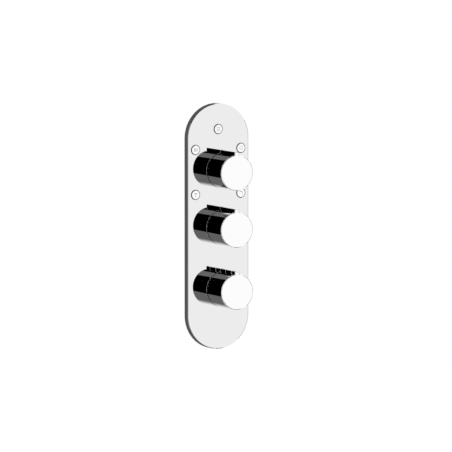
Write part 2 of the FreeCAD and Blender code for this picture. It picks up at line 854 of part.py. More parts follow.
nodes = {
    "trim_plate": trim_plate(),
    "plate_gasket": plate_gasket(),
    "outlet_discs": outlet_discs(),
    "plate_ring_nuts": plate_ring_nuts(),
    "valve_casting": valve_casting(),
    "outlet_sockets": outlet_sockets(),
    "inlet_sockets": inlet_sockets(),
    "mounting_rail": mounting_rail(),
    "rail_screws": rail_screws(),
    "gallery_plugs": gallery_plugs(),
    "diverter_cartridge": diverter_cartridge(),
    "volume_cartridge": volume_cartridge(),
    "thermostat_cartridge": thermostat_cartridge(),
    "diverter_knob": knob(knob_length, diverter_z),
    "volume_knob": knob(knob_length, volume_z),
    "thermostat_knob": thermostat_knob(),
    "safety_button": safety_button(),
    "button_spring": button_spring(),
    "diverter_spindle": spindle(diverter_z, square_drive(rotor_front_y + rotor_face_wall)),
    "volume_spindle": spindle(volume_z, square_drive(disc_stack_front_y)),
    "thermostat_spindle": spindle(thermostat_z, thermostat_pusher()),
    "diverter_rotor": diverter_rotor(),
    "volume_rotating_disc": volume_rotating_disc(),
    "volume_fixed_disc": volume_fixed_disc(),
    "volume_base_seal": volume_base_seal(),
    "wax_element": wax_element(),
    "mixing_shuttle": mixing_shuttle(),
    "return_spring": return_spring(),
    "temperature_stop_ring": temperature_stop_ring(),
    "inlet_strainers": inlet_strainers(),
}
for name, z in stations.items():
    nodes[name + "_adapter"] = adapter(z)
for name, centre in inlet_centres.items():
    nodes[name + "_check_cage"] = check_cage(centre)
    nodes[name + "_check_poppet"] = check_poppet(centre)
    nodes[name + "_check_spring"] = check_spring(centre)

os.makedirs("parts", exist_ok=True)
for name, shape in nodes.items():
    shape.exportStep("parts/" + name + ".step")
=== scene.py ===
import math

import bmesh
import bpy
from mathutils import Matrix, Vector


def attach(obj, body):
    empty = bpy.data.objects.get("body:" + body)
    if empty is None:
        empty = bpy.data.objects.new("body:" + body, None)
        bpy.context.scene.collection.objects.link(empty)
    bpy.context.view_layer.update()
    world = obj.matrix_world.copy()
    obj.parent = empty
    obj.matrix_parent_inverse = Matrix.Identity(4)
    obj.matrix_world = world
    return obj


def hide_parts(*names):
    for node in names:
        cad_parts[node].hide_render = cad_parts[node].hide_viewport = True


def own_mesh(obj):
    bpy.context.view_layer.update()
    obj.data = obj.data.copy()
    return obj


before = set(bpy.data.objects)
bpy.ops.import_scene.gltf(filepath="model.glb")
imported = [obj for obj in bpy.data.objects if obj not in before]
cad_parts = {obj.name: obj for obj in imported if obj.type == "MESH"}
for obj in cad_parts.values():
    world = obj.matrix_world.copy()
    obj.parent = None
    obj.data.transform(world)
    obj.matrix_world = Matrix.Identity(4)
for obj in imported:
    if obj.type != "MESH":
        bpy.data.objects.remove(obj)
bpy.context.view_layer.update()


# The studio: a long lens from the left and a little above, as in the photograph. The surroundings are
# white, and grey and black boards stand where the polished metal mirrors them; only reflections show them.
camera_turn = math.radians(-28.1)
camera_rise = math.radians(5.5)
camera_distance = 10.0
view_width = 0.6584
view_centre = (0.00950, -0.00077)
toward_camera = Vector((
    math.sin(camera_turn) * math.cos(camera_rise),
    -math.cos(camera_turn) * math.cos(camera_rise),
    math.sin(camera_rise),
))
image_right = Vector((math.cos(camera_turn), math.sin(camera_turn), 0))
image_up = toward_camera.cross(image_right)
aim_point = image_right * view_centre[0] + image_up * view_centre[1]
camera_data = bpy.data.cameras.new("studio_camera")
camera_data.sensor_width = 36
camera_data.lens = camera_data.sensor_width * camera_distance / view_width
studio_camera = bpy.data.objects.new("studio_camera", camera_data)
studio_camera.location = aim_point + toward_camera * camera_distance
studio_camera.rotation_mode = "QUATERNION"
studio_camera.rotation_quaternion = (-toward_camera).to_track_quat("-Z", "Y")
bpy.context.scene.collection.objects.link(studio_camera)
bpy.context.scene.camera = studio_camera
bpy.context.scene.view_settings.view_transform = "Standard"

white_room = bpy.data.worlds.new("white_room")
bpy.context.scene.world = white_room
white_room.use_nodes = True
room_nodes = white_room.node_tree.nodes
room_light = room_nodes["Background"]
room_light.inputs["Color"].default_value = (1, 1, 1, 1)
ray_kind = room_nodes.new("ShaderNodeLightPath")
soft_level = room_nodes.new("ShaderNodeMapRange")
soft_level.inputs["To Min"].default_value = 1.0
soft_level.inputs["To Max"].default_value = 0.88
white_room.node_tree.links.new(ray_kind.outputs["Is Diffuse Ray"], soft_level.inputs["Value"])
white_room.node_tree.links.new(soft_level.outputs["Result"], room_light.inputs["Strength"])

toward_lamp = Vector((0.45, -0.62, 0.64))
lamp_data = bpy.data.lights.new("soft_lamp", "SUN")
lamp_data.energy = 0.55
lamp_data.angle = math.radians(20)
soft_lamp = bpy.data.objects.new("soft_lamp", lamp_data)
soft_lamp.rotation_mode = "QUATERNION"
soft_lamp.rotation_quaternion = toward_lamp.to_track_quat("Z", "Y")
bpy.context.scene.collection.objects.link(soft_lamp)


def studio_sheet(name, corners, material):
    """A flat sheet through its corners, which belongs to the studio."""
    mesh = bpy.data.meshes.new(name)
    mesh.from_pydata(corners, [], [tuple(range(len(corners)))])
    sheet = bpy.data.objects.new(name, mesh)
    mesh.materials.append(material)
    bpy.context.scene.collection.objects.link(sheet)
    return sheet


def board_paint(name, level, fade_start=None, fade_end=None, fade_level=None):
    """The even grey of a studio board, or one that fades along X to another level."""
    material = bpy.data.materials.new(name)
    material.use_nodes = True
    nodes = material.node_tree.nodes
    links = material.node_tree.links
    nodes.clear()
    output = nodes.new("ShaderNodeOutputMaterial")
    glow = nodes.new("ShaderNodeEmission")
    glow.inputs["Strength"].default_value = level
    if fade_level is not None:
        place = nodes.new("ShaderNodeTexCoord")
        axes = nodes.new("ShaderNodeSeparateXYZ")
        fade = nodes.new("ShaderNodeMapRange")
        fade.inputs["From Min"].default_value = fade_start
        fade.inputs["From Max"].default_value = fade_end
        fade.inputs["To Min"].default_value = level
        fade.inputs["To Max"].default_value = fade_level
        links.new(place.outputs["Object"], axes.inputs["Vector"])
        links.new(axes.outputs["X"], fade.inputs["Value"])
        links.new(fade.outputs["Result"], glow.inputs["Strength"])
    links.new(glow.outputs["Emission"], output.inputs["Surface"])
    return material


floor_paint = bpy.data.materials.new("pale_floor")
floor_paint.use_nodes = True
floor_surface = floor_paint.node_tree.nodes["Principled BSDF"]
floor_surface.inputs["Base Color"].default_value = (0.9, 0.9, 0.9, 1)
floor_surface.inputs["Roughness"].default_value = 0.8
floor_surface.inputs["Emission Color"].default_value = (1, 1, 1, 1)
floor_surface.inputs["Emission Strength"].default_value = 0.22
floor_height = -0.5
studio_floor = studio_sheet(
    "studio_floor",
    [(-3, -4, floor_height), (3, -4, floor_height), (3, 2, floor_height), (-3, 2, floor_height)],
    floor_paint,
)
studio_floor.visible_glossy = False

front_boards = -3.0
board_gap = 0.01
rear_board = 3.0
left_board = -3.0
right_boards = 3.0
ceiling_boards = 2.3
floor_boards = -2.3
opening_radius = 1.3
# Where each board's edge runs round the open middle, in degrees anticlockwise from the right.
black_turn = (207.4, 111.4)
upper_grey_turn = (110, 57)
upper_black_turn = (57, 20)
lower_grey_turn = (206, 330)
rear_turn = (358, 2)


def arc(start, end, steps=24):
    """Places round the boards' open middle, between two directions in degrees."""
    turns = [math.radians(start + (end - start) * i / steps) for i in range(steps + 1)]
    return [(opening_radius * math.cos(a), opening_radius * math.sin(a)) for a in turns]


def mirrored_board(name, across, place, corners, paint):
    """A board across X, Y or Z (0, 1 or 2) at one place, from its corners, that only reflections show."""
    board = studio_sheet(name, [(*c[:across], place, *c[across:]) for c in corners], paint)
    board.visible_camera = False
    board.visible_diffuse = False
    board.visible_transmission = False
    board.visible_shadow = False


mirrored_board(
    "black_board", 1, front_boards,
    [(-2.0, -1.25), (-1.40, -1.25), *arc(*black_turn), (-0.14, 2.1), (-2.0, 2.1)],
    board_paint("board_black", level=0.0),
)
mirrored_board(
    "upper_grey_board", 1, front_boards - board_gap,
    [*arc(*upper_grey_turn), (0.98, 2.1), (-0.4, 2.1)],
    board_paint("board_grey_above", level=0.15),
)
mirrored_board(
    "upper_black_board", 1, front_boards,
    [*arc(*upper_black_turn), (2.0, 0.8), (2.0, 2.1), (0.98, 2.1)],
    board_paint("board_black_above", level=0.0),
)
mirrored_board(
    "lower_grey_board", 1, front_boards - 2 * board_gap,
    [*arc(*lower_grey_turn), (1.9, -0.8), (1.5, -2.0), (-1.9, -2.0), (-1.9, -1.0)],
    board_paint("board_grey_below", level=0.14, fade_start=0.22, fade_end=1.45, fade_level=1.0),
)
mirrored_board(
    "rear_dark_board", 1, rear_board,
    [*arc(*rear_turn), (2.0, 0.05), (2.0, 2.2), (-2.0, 2.2), (-2.0, -2.2), (2.0, -2.2), (2.0, -0.05)],
    board_paint("board_dark_behind", level=0.10),
)
mirrored_board(
    "left_grey_board", 0, left_board,
    [(-2.9, -2.8), (-0.4, -2.8), (-0.4, 2.3), (-2.9, 2.3)],
    board_paint("board_grey_left", level=0.25),
)
mirrored_board(
    "right_dark_board", 0, right_boards,
    [(-2.9, -2.0), (-0.35, -2.0), (-0.35, 2.0), (-2.9, 2.0)],
    board_paint("board_dark_right", level=0.09),
)
mirrored_board(
    "right_rear_board", 0, right_boards,
    [(0.5, -2.0), (2.4, -2.0), (2.4, 0.7), (0.5, 0.7)],
    board_paint("board_dark_right_rear", level=0.05),
)
mirrored_board(
    "ceiling_dark_board", 2, ceiling_boards,
    [(-3.0, -2.9), (2.1, -2.9), (2.1, -1.4), (0.15, -1.4), (0.15, -0.6), (-3.0, -0.6)],
    board_paint("board_dark_overhead", level=0.05),
)
mirrored_board(
    "floor_dark_board", 2, floor_boards,
    [(-2.0, -2.9), (2.1, -2.9), (2.1, 0.5), (0.9, 0.5), (0.9, -1.4), (-2.0, -1.4)],
    board_paint("board_dark_underfoot", level=0.05),
)
mirrored_board(
    "lower_left_strip_board", 2, floor_boards - board_gap,
    [(-2.6, -1.9), (-2.6, -1.1), (-0.6, -0.35), (-0.6, -0.75)],
    board_paint("board_strip_left", level=0.10),
)
mirrored_board(
    "top_strip_board", 2, ceiling_boards,
    [(-0.8, -0.6), (0.8, -0.6), (0.8, 0.6), (-0.8, 0.6)],
    board_paint("board_strip_above", level=0.06),
)
mirrored_board(
    "bottom_strip_board", 2, floor_boards,
    [(-0.8, -0.6), (0.8, -0.6), (0.8, 0.6), (-0.8, 0.6)],
    board_paint("board_strip_below", level=0.12),
)


# The trim plate: brass plate pressed into a shallow stadium tray, polished and chrome plated. It is
# pushed over the three cartridge heads and held by the ring nuts, which the knobs then cover.
MM = 0.001
plate_centre = -7.5
plate_half_width = 50.0
plate_half_height = 179.2
plate_front = -10.0
plate_edge_chamfer = 0.9
plate_rim = 7.0
plate_floor = -7.0
plate_hole_radius = 15.5
knob_heights = {"diverter": 81.0, "volume": -2.0, "thermostat": -92.5}
disc_spread = 37.3
top_disc_height = 142.0
upper_disc_height = 113.0
lower_disc_height = 47.5
disc_places = {
    "top": (plate_centre, top_disc_height),
    "upper_left": (plate_centre - disc_spread, upper_disc_height),
    "upper_right": (plate_centre + disc_spread, upper_disc_height),
    "lower_left": (plate_centre - disc_spread, lower_disc_height),
    "lower_right": (plate_centre + disc_spread, lower_disc_height),
}
disc_seat_radius = 7.5
disc_seat_floor = -8.9


def polished_chrome(name, colour, roughness):
    """Bright chrome plate with the faint unevenness that hand polishing leaves in its gloss."""
    material = bpy.data.materials.new(name)
    material.use_nodes = True
    nodes = material.node_tree.nodes
    links = material.node_tree.links
    surface = nodes["Principled BSDF"]
    surface.inputs["Base Color"].default_value = (*colour, 1)
    surface.inputs["Metallic"].default_value = 1.0
    place = nodes.new("ShaderNodeTexCoord")
    polish = nodes.new("ShaderNodeTexNoise")
    polish.inputs["Scale"].default_value = 140
    polish.inputs["Detail"].default_value = 4
    sheen = nodes.new("ShaderNodeMapRange")
    sheen.inputs["To Min"].default_value = roughness * 0.6
    sheen.inputs["To Max"].default_value = roughness * 1.4
    links.new(place.outputs["Object"], polish.inputs["Vector"])
    links.new(polish.outputs["Fac"], sheen.inputs["Value"])
    links.new(sheen.outputs["Result"], surface.inputs["Roughness"])
    return material


def circle_outline(radius, x=0.0, z=0.0, steps=64):
    """Points round a circle in front view."""
    turns = [2 * math.pi * (i + 0.5) / steps for i in range(steps)]
    return [(x + radius * math.cos(a), z + radius * math.sin(a)) for a in turns]


def stadium_outline(inset, steps=56):
    """Points round the plate in front view, drawn inwards by the inset, anticlockwise."""
    straight = plate_half_height - plate_half_width
    radius = plate_half_width - inset
    points = []
    for centre, start in ((straight, 0.0), (-straight, math.pi)):
        for i in range(steps + 1):
            turn = start + math.pi * i / steps
            points.append((plate_centre + radius * math.cos(turn), centre + radius * math.sin(turn)))
    return points


def loop(mesh, outline, depth):
    """A closed loop of vertices at one depth, from an outline in front view in millimetres."""
    return [mesh.verts.new((x * MM, depth * MM, z * MM)) for x, z in outline]


def wall(mesh, first, second):
    """A band of faces between two loops with as many vertices."""
    for i in range(len(first)):
        j = (i + 1) % len(first)
        mesh.faces.new((first[i], first[j], second[j], second[i]))


def flat(mesh, *loops):
    """A flat face inside the first loop, with the other loops as holes."""
    edges = []
    for ring in loops:
        for i in range(len(ring)):
            pair = (ring[i], ring[(i + 1) % len(ring)])
            edges.append(mesh.edges.get(pair) or mesh.edges.new(pair))
    bmesh.ops.triangle_fill(mesh, edges=edges, use_beauty=True)


def finished_piece(name, mesh, material, body, crease=32):
    """Turn a closed mesh into a piece with smooth curves and crisp corners, and fix it to its body."""
    bmesh.ops.recalc_face_normals(mesh, faces=mesh.faces)
    data = bpy.data.meshes.new(name)
    mesh.to_mesh(data)
    mesh.free()
    data.materials.append(material)
    data.shade_smooth()
    data.set_sharp_from_angle(angle=math.radians(crease))
    piece = bpy.data.objects.new(name, data)
    bpy.context.scene.collection.objects.link(piece)
    weighting = piece.modifiers.new("even_gloss", "WEIGHTED_NORMAL")
    weighting.keep_sharp = True
    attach(piece, body)
    return piece


# The plate's chrome is written darker than the knobs' and discs' (0.84 against 0.97): painted shade that
# dims what the plate mirrors.
shaded_plate_chrome = polished_chrome("shaded_plate_chrome", (0.84, 0.84, 0.84), roughness=0.007)
tray = bmesh.new()
rear_edge = loop(tray, stadium_outline(0), 0.0)
side_front = loop(tray, stadium_outline(0), plate_front + plate_edge_chamfer)
face_edge = loop(tray, stadium_outline(plate_edge_chamfer), plate_front)
rim_edge = loop(tray, stadium_outline(plate_rim), 0.0)
rim_foot = loop(tray, stadium_outline(plate_rim), plate_floor)
holes_front = []
holes_rear = []
for height in knob_heights.values():
    holes_front.append(loop(tray, circle_outline(plate_hole_radius, 0, height), plate_front))
    holes_rear.append(loop(tray, circle_outline(plate_hole_radius, 0, height), plate_floor))
seats = []
for x, z in disc_places.values():
    seats.append(loop(tray, circle_outline(disc_seat_radius, x, z), plate_front))
    seat_floor = loop(tray, circle_outline(disc_seat_radius, x, z), disc_seat_floor)
    wall(tray, seats[-1], seat_floor)
    flat(tray, seat_floor)
wall(tray, rear_edge, side_front)
wall(tray, side_front, face_edge)
flat(tray, face_edge, *holes_front, *seats)
for front_hole, rear_hole in zip(holes_front, holes_rear):
    wall(tray, front_hole, rear_hole)
flat(tray, rim_foot, *holes_rear)
wall(tray, rim_edge, rim_foot)
flat(tray, rear_edge, rim_edge)
trim_plate = finished_piece("chromed_trim_plate", tray, shaded_plate_chrome, "valve_body")
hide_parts("trim_plate")


# The plate's gasket: a strip of closed-cell rubber foam, bonded inside the rim and pressed flush with
# the wall when the ring nuts are tightened.
def plain_moulding(name, colour, roughness, grain=500, relief_depth=0.0002):
    """A moulded plastic, ceramic or rubber with a fine surface texture."""
    material = bpy.data.materials.new(name)
    material.use_nodes = True
    nodes = material.node_tree.nodes
    links = material.node_tree.links
    surface = nodes["Principled BSDF"]
    surface.inputs["Roughness"].default_value = roughness
    place = nodes.new("ShaderNodeTexCoord")
    texture = nodes.new("ShaderNodeTexNoise")
    texture.inputs["Scale"].default_value = grain
    tone = nodes.new("ShaderNodeValToRGB")
    tone.color_ramp.elements[0].color = (*(0.88 * c for c in colour), 1)
    tone.color_ramp.elements[1].color = (*colour, 1)
    relief = nodes.new("ShaderNodeBump")
    relief.inputs["Strength"].default_value = 0.2
    relief.inputs["Distance"].default_value = relief_depth
    links.new(place.outputs["Object"], texture.inputs["Vector"])
    links.new(texture.outputs["Fac"], tone.inputs["Fac"])
    links.new(tone.outputs["Color"], surface.inputs["Base Color"])
    links.new(texture.outputs["Fac"], relief.inputs["Height"])
    links.new(relief.outputs["Normal"], surface.inputs["Normal"])
    return material


def dress(node, material, corner):
    """Give a solid that keeps its own shape its finish, and break its corners."""
    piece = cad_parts[node]
    piece.data.materials.clear()
    piece.data.materials.append(material)
    joining = piece.modifiers.new("joined_faces", "WELD")
    joining.merge_threshold = 0.00001
    clearing = piece.modifiers.new("whole_flats", "DECIMATE")
    clearing.decimate_type = "DISSOLVE"
    clearing.angle_limit = math.radians(0.5)
    breaking = piece.modifiers.new("broken_corners", "BEVEL")
    breaking.width = corner * MM
    breaking.segments = 2
    breaking.limit_method = "ANGLE"
    breaking.angle_limit = math.radians(35)


foam_rubber = plain_moulding(
    "foam_rubber", (0.03, 0.03, 0.031), roughness=0.85, grain=900, relief_depth=0.0004
)
dress("plate_gasket", foam_rubber, corner=0.3)


# The outlet discs: five small discs turned from brass bar and chrome plated, in shallow seats of the plate.
# The near-black ring in each seat's gap is painted shade for the shadow in that gap. Each disc carries the
# printed sign of the outlet that it stands for.
disc_radius = 6.5
disc_front = -11.0
disc_edge = 0.35
disc_points = 48
shade_ring_front = -9.8
sign_height = 0.03
dot = 0.5
stroke = 0.36
dot_ring = ((-2, -1), (2, -1), (-2, 1.4), (2, 1.4), (0, 2.6), (0, -2.4))
signs = {
    "top": [(x, z, dot, dot) for x in (-2.2, 0, 2.2) for z in (-2.2, 0, 2.2)],
    "upper_right": [(x, z, dot, dot) for x, z in dot_ring],
    "upper_left": [(x, 0, stroke, 2.4) for x in (-2.3, 0, 2.3)],
    "lower_left": [(0, -0.8, stroke, 2.2), (0, 1.8, 2.4, stroke)],
    "lower_right": [(-0.3, 1.6, 2.2, stroke), (1.9, 0.0, stroke, 1.24), (1.9, -2.3, stroke, stroke)],
}


def block(mesh, low, high):
    """A block between two corners in millimetres."""
    middle = (Vector(low) + Vector(high)) / 2
    size = Vector(high) - Vector(low)
    for vert in bmesh.ops.create_cube(mesh, size=1.0)["verts"]:
        vert.co = Vector([(middle[i] + vert.co[i] * size[i]) * MM for i in range(3)])


disc_chrome = polished_chrome("disc_chrome", (0.97, 0.97, 0.97), roughness=0.01)
# The near-black rings round the discs are painted shade: their colour stands in for the shadow in each
# seat's gap.
painted_gap_shade = plain_moulding("painted_gap_shade", (0.02, 0.02, 0.021), roughness=0.6)
sign_paint = plain_moulding("grey_sign_paint", (0.10, 0.10, 0.105), roughness=0.6)
gap_shade_rings = bmesh.new()
painted = bmesh.new()
for place_name, (x, z) in disc_places.items():
    disc = bmesh.new()
    foot = loop(disc, circle_outline(disc_radius, x, z, disc_points), disc_seat_floor)
    shoulder = loop(disc, circle_outline(disc_radius, x, z, disc_points), disc_front + disc_edge)
    face = loop(disc, circle_outline(disc_radius - disc_edge, x, z, disc_points), disc_front)
    flat(disc, foot)
    wall(disc, foot, shoulder)
    wall(disc, shoulder, face)
    flat(disc, face)
    disc_name = "outlet_disc_" + place_name
    outlet_disc = finished_piece(disc_name, disc, disc_chrome, "valve_body")
    if place_name == "top":
        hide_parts("outlet_discs")
    outer = loop(gap_shade_rings, circle_outline(disc_seat_radius, x, z, disc_points), shade_ring_front)
    inner = loop(gap_shade_rings, circle_outline(disc_radius, x, z, disc_points), shade_ring_front)
    outer_foot = loop(gap_shade_rings, circle_outline(disc_seat_radius, x, z, disc_points), disc_seat_floor)
    inner_foot = loop(gap_shade_rings, circle_outline(disc_radius, x, z, disc_points), disc_seat_floor)
    wall(gap_shade_rings, outer, inner)
    wall(gap_shade_rings, inner, inner_foot)
    wall(gap_shade_rings, inner_foot, outer_foot)
    wall(gap_shade_rings, outer_foot, outer)
    for dx, dz, half_x, half_z in signs[place_name]:
        block(
            painted,
            (x + dx - half_x, disc_front - sign_height, z + dz - half_z),
            (x + dx + half_x, disc_front, z + dz + half_z),
        )
finished_piece("disc_gap_shade_rings", gap_shade_rings, painted_gap_shade, "valve_body")
finished_piece("disc_signs", painted, sign_paint, "valve_body")


# The ring nuts: three hexagon nuts parted from brass bar, screwed on the cartridge heads against the
# plate. They stay hidden inside the knobs' skirts.
def plain_metal(name, colour, roughness, grain=60, relief_depth=0.0004):
    """A metal with small changes of tone and gloss from its making and handling."""
    material = bpy.data.materials.new(name)
    material.use_nodes = True
    nodes = material.node_tree.nodes
    links = material.node_tree.links
    surface = nodes["Principled BSDF"]
    surface.inputs["Metallic"].default_value = 1.0
    place = nodes.new("ShaderNodeTexCoord")
    mottle = nodes.new("ShaderNodeTexNoise")
    mottle.inputs["Scale"].default_value = grain
    mottle.inputs["Detail"].default_value = 6
    tone = nodes.new("ShaderNodeValToRGB")
    tone.color_ramp.elements[0].color = (*(0.84 * c for c in colour), 1)
    tone.color_ramp.elements[1].color = (*colour, 1)
    sheen = nodes.new("ShaderNodeMapRange")
    sheen.inputs["To Min"].default_value = roughness * 0.75
    sheen.inputs["To Max"].default_value = roughness * 1.25
    relief = nodes.new("ShaderNodeBump")
    relief.inputs["Strength"].default_value = 0.15
    relief.inputs["Distance"].default_value = relief_depth
    links.new(place.outputs["Object"], mottle.inputs["Vector"])
    links.new(mottle.outputs["Fac"], tone.inputs["Fac"])
    links.new(tone.outputs["Color"], surface.inputs["Base Color"])
    links.new(mottle.outputs["Fac"], sheen.inputs["Value"])
    links.new(sheen.outputs["Result"], surface.inputs["Roughness"])
    links.new(mottle.outputs["Fac"], relief.inputs["Height"])
    links.new(relief.outputs["Normal"], surface.inputs["Normal"])
    return material


turned_brass = plain_metal("turned_brass", (0.82, 0.64, 0.36), roughness=0.24, grain=90, relief_depth=0.0002)
dress("plate_ring_nuts", turned_brass, corner=0.5)


# The three knobs: turned from brass bar with the grip rib milled along the top, then polished and
# chrome plated. Each is pushed onto the six-sided bush of its spindle.
knob_radius = 26.0
knob_bore_radius = 23.0
knob_rear = -11.5
knob_front = {"diverter": -54.5, "volume": -54.5, "thermostat": -55.3}
knob_face_wall = 4.0
rib_half_width = 3.4
rib_top = 30.3
rib_rounding = 0.8
face_rounding = 1.1
rear_rounding = 0.2
skirt_steps = 120
corner_steps = 4
rounding_steps = 3
bore_points = 96
hub_half_flats = 8.5
hub_rear = -20.0
bush_half_flats = 5.5
bush_length = 24.0


def knob_outline(z):
    """The knob from the front: a circle with the rib standing on its top, anticlockwise."""
    root = math.asin(rib_half_width / knob_radius)
    sweep = 2 * math.pi - 2 * root
    points = []
    for i in range(skirt_steps + 1):
        turn = math.pi / 2 + root + sweep * i / skirt_steps
        points.append((knob_radius * math.cos(turn), z + knob_radius * math.sin(turn)))
    for side, start in ((1, 0.0), (-1, math.pi / 2)):
        for i in range(corner_steps + 1):
            turn = start + math.pi / 2 * i / corner_steps
            x = side * (rib_half_width - rib_rounding) + rib_rounding * math.cos(turn)
            points.append((x, z + rib_top - rib_rounding + rib_rounding * math.sin(turn)))
    return points


def inset(outline, distance):
    """The same outline drawn inwards by a small distance, point for point."""
    moved = []
    for i, (x, z) in enumerate(outline):
        before = Vector(outline[i - 1])
        here = Vector((x, z))
        after = Vector(outline[(i + 1) % len(outline)])
        first = (here - before).normalized()
        second = (after - here).normalized()
        middle = (Vector((-first.y, first.x)) + Vector((-second.y, second.x))).normalized()
        stretch = max(middle.dot(Vector((-first.y, first.x))), 0.5)
        spot = here + middle * (distance / stretch)
        moved.append((spot.x, spot.y))
    return moved


def hexagon_outline(half_flats, z):
    """A six-sided outline with two flats facing left and right."""
    corner = half_flats / math.cos(math.pi / 6)
    turns = [math.pi / 6 + math.pi / 3 * i for i in range(6)]
    return [(corner * math.cos(a), z + corner * math.sin(a)) for a in turns]


def turned_knob(z, front):
    """The whole knob as one closed mesh: rounded outer skin, hollow skirt, hub and drive socket."""
    knob = bmesh.new()
    outline = knob_outline(z)
    rings = []
    for i in range(rounding_steps + 1):
        turn = math.pi / 2 * i / rounding_steps
        drawn_in = face_rounding * (1 - math.sin(turn))
        rings.append(loop(knob, inset(outline, drawn_in), front + face_rounding * (1 - math.cos(turn))))
    for i in range(rounding_steps + 1):
        turn = math.pi / 2 * i / rounding_steps
        drawn_in = rear_rounding * (1 - math.cos(turn))
        rings.append(loop(knob, inset(outline, drawn_in), knob_rear - rear_rounding * (1 - math.sin(turn))))
    flat(knob, rings[0])
    for first, second in zip(rings, rings[1:]):
        wall(knob, first, second)
    mouth = loop(knob, circle_outline(knob_bore_radius, 0, z, bore_points), knob_rear)
    inner_face = loop(knob, circle_outline(knob_bore_radius, 0, z, bore_points), front + knob_face_wall)
    hub_foot = loop(knob, hexagon_outline(hub_half_flats, z), front + knob_face_wall)
    hub_end = loop(knob, hexagon_outline(hub_half_flats, z), hub_rear)
    socket_mouth = loop(knob, hexagon_outline(bush_half_flats, z), hub_rear)
    socket_floor = loop(knob, hexagon_outline(bush_half_flats, z), hub_rear - bush_length)
    flat(knob, rings[-1], mouth)
    wall(knob, mouth, inner_face)
    flat(knob, inner_face, hub_foot)
    wall(knob, hub_foot, hub_end)
    flat(knob, hub_end, socket_mouth)
    wall(knob, socket_mouth, socket_floor)
    flat(knob, socket_floor)
    return knob


knob_chrome = polished_chrome("knob_chrome", (0.97, 0.97, 0.97), roughness=0.007)
knobs = {}
for name, z in knob_heights.items():
    mesh = turned_knob(z, knob_front[name])
    knob_name = name + "_chromed_knob"
    knobs[name] = finished_piece(knob_name, mesh, knob_chrome, name + "_handle")
    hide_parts(name + "_knob")


# The safety button: a chromed slide in a slot of the thermostat knob's rib. Pressed, it lets the knob
# pass the temperature stop. A flange inside the skirt keeps it in.
button_back = -25.0
button_front = -43.5
button_middle = (button_back + button_front) / 2
button_gap = 0.3
button_low = -72.296
button_top = -62.2
button_half_width = 3.4
button_rounding = 0.5
flange_half_width = 4.75
flange_thickness = 2.0
flange_overhang = 1.4
tongue_length = 4.0
slot_low = -76.1
slot_high = button_top + 2
spring_seat = -83.685
spring_seat_half = 3.76


def cut_away(piece, cutter_mesh):
    """Mill a shape out of a piece and keep the result as its mesh."""
    bmesh.ops.recalc_face_normals(cutter_mesh, faces=cutter_mesh.faces)
    data = bpy.data.meshes.new("cutter")
    cutter_mesh.to_mesh(data)
    cutter_mesh.free()
    cutter = bpy.data.objects.new("cutter", data)
    bpy.context.scene.collection.objects.link(cutter)
    bpy.context.view_layer.update()
    milling = piece.modifiers.new("milling", "BOOLEAN")
    milling.operation = "DIFFERENCE"
    milling.solver = "EXACT"
    milling.object = cutter
    piece.modifiers.move(len(piece.modifiers) - 1, 0)
    depsgraph = bpy.context.evaluated_depsgraph_get()
    piece.modifiers["even_gloss"].show_viewport = False
    depsgraph.update()
    milled = bpy.data.meshes.new_from_object(piece.evaluated_get(depsgraph))
    piece.modifiers["even_gloss"].show_viewport = True
    piece.modifiers.remove(milling)
    piece.data = milled
    bpy.data.objects.remove(cutter)
    milled.shade_smooth()
    milled.set_sharp_from_angle(angle=math.radians(32))


button_slot = bmesh.new()
block(
    button_slot,
    (-button_half_width - button_gap, button_front - button_gap, slot_low),
    (button_half_width + button_gap, button_back + button_gap, slot_high),
)
cut_away(knobs["thermostat"], button_slot)
seat_pocket = bmesh.new()
block(
    seat_pocket,
    (-spring_seat_half, button_middle - spring_seat_half, spring_seat),
    (spring_seat_half, button_middle + spring_seat_half, slot_low),
)
cut_away(knobs["thermostat"], seat_pocket)

# The flange keeps its crisp edges; only the slide's own edges are rounded.
button = bmesh.new()
block(
    button,
    (-flange_half_width, button_front - flange_overhang, button_low),
    (flange_half_width, button_back + tongue_length, button_low + flange_thickness),
)
flange_edges = set(button.edges)
block(button, (-button_half_width, button_front, button_low), (button_half_width, button_back, button_top))
bmesh.ops.bevel(
    button,
    geom=[edge for edge in button.edges if edge not in flange_edges],
    offset=button_rounding * MM,
    segments=3,
    profile=0.5,
    affect="EDGES",
    clamp_overlap=True,
)
safety_button = finished_piece(
    "chromed_safety_button", button, knob_chrome, "safety_button"
)
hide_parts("safety_button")


# The button's spring: stainless wire wound on a mandrel, with closed ground ends. It stands in a pocket
# of the knob's hub and pushes the button out.
def coil(radius, wire, turns, height):
    """A compression spring on the Z axis from the origin up, in millimetres, with closed end turns."""
    mesh = bmesh.new()
    sides = 8
    steps = 20
    whole = turns + 2
    count = whole * steps
    reach = radius - wire / 2
    rings = []
    for i in range(count + 1):
        turn = 2 * math.pi * i / steps
        done = i / steps
        free = min(max(done - 1, 0), turns) / turns
        rise = wire * (min(done, 1) + max(done - 1 - turns, 0))
        middle = wire / 2 + rise + free * (height - 3 * wire)
        ring = []
        for j in range(sides):
            roll = 2 * math.pi * j / sides
            out = reach + wire / 2 * math.cos(roll)
            up = min(max(middle + wire / 2 * math.sin(roll), 0), height)
            ring.append(mesh.verts.new((out * math.cos(turn) * MM, out * math.sin(turn) * MM, up * MM)))
        rings.append(ring)
    for first, second in zip(rings, rings[1:]):
        wall(mesh, first, second)
    mesh.faces.new(rings[0])
    mesh.faces.new(rings[-1])
    return mesh


def spring_piece(name, mesh, foot, axis, body, node):
    """Stand a spring on its foot along its axis, fix it to its body, and hide the CAD part it stands for."""
    lean = Vector((0, 0, 1)).rotation_difference(Vector(axis)).to_matrix()
    bmesh.ops.rotate(mesh, verts=mesh.verts, cent=(0, 0, 0), matrix=lean)
    bmesh.ops.translate(mesh, verts=mesh.verts, vec=[c * MM for c in foot])
    spring = finished_piece(name, mesh, spring_wire, body, 60)
    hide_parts(node)
    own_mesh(spring)


